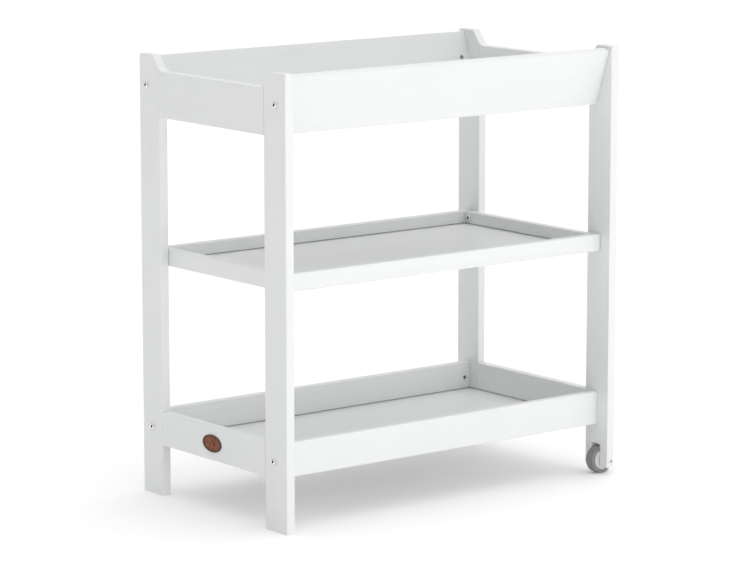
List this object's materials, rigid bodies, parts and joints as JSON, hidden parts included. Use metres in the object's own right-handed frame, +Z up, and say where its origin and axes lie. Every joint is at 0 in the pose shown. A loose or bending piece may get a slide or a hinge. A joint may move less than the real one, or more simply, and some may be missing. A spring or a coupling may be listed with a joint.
{
  "type": "changing table",
  "caption": "Free-standing white wooden changing table with a walled top tray, a framed middle shelf, a walled lower tray and wheels under one end.",
  "frame": {"origin": "middle of the bounding box's base, on the floor", "axes": "+X towards the end with wheels, +Y towards the back, +Z up; the badge is on the -X end"},
  "size_m": [0.8938, 0.5046, 0.918],
  "materials": {
    "white_paint": "satin white paint",
    "white_panel": "semi-gloss white paint on board",
    "zinc_steel": "bright zinc",
    "beech": "bare",
    "copper_plate": "aged copper",
    "grey_rubber": "matte",
    "grey_plastic": "matte"
  },
  "bodies": {
    "frame": {"post_front_left": "white_paint", "post_back_left": "white_paint", "end_board_top_left": "white_paint", "end_board_lower_left": "white_paint", "shelf_side_rail_left": "white_paint", "post_front_right": "white_paint", "post_back_right": "white_paint", "end_board_top_right": "white_paint", "end_board_lower_right": "white_paint", "shelf_side_rail_right": "white_paint", "top_board_front": "white_paint", "lower_board_front": "white_paint", "shelf_rail_front": "white_paint", "top_board_back": "white_paint", "lower_board_back": "white_paint", "shelf_rail_back": "white_paint", "top_deck": "white_panel", "lower_panel": "white_panel", "shelf_panel": "white_panel", "top_bolt_front_left": "zinc_steel", "top_bolt_back_left": "zinc_steel", "top_bolt_front_right": "zinc_steel", "top_bolt_back_right": "zinc_steel", "lower_bolt_front_left": "zinc_steel", "lower_bolt_back_left": "zinc_steel", "lower_bolt_front_right": "zinc_steel", "lower_bolt_back_right": "zinc_steel", "shelf_bolt_front_left": "zinc_steel", "shelf_bolt_back_left": "zinc_steel", "shelf_bolt_front_right": "zinc_steel", "shelf_bolt_back_right": "zinc_steel", "top_barrel_nut_front_left": "zinc_steel", "top_barrel_nut_back_left": "zinc_steel", "top_barrel_nut_front_right": "zinc_steel", "top_barrel_nut_back_right": "zinc_steel", "lower_barrel_nut_front_left": "zinc_steel", "lower_barrel_nut_back_left": "zinc_steel", "lower_barrel_nut_front_right": "zinc_steel", "lower_barrel_nut_back_right": "zinc_steel", "shelf_insert_front_left": "zinc_steel", "shelf_insert_back_left": "zinc_steel", "shelf_insert_front_right": "zinc_steel", "shelf_insert_back_right": "zinc_steel", "shelf_dowel_front_left": "beech", "shelf_dowel_back_left": "beech", "shelf_dowel_front_right": "beech", "shelf_dowel_back_right": "beech", "axle_screw_front": "zinc_steel", "axle_screw_back": "zinc_steel", "oval_badge": "copper_plate"},
    "wheel_front": {"tyre_front": "grey_rubber", "hub_front": "grey_plastic"},
    "wheel_back": {"tyre_back": "grey_rubber", "hub_back": "grey_plastic"}
  },
  "joints": [
    {"name": "wheel_front_spin", "type": "hinge", "parent": "frame", "child": "wheel_front", "pos_m": [0.4169, -0.215, 0.03], "axis": [0, 1, 0], "continuous": true},
    {"name": "wheel_back_spin", "type": "hinge", "parent": "frame", "child": "wheel_back", "pos_m": [0.4169, 0.215, 0.03], "axis": [0, 1, 0], "continuous": true}
  ]
}
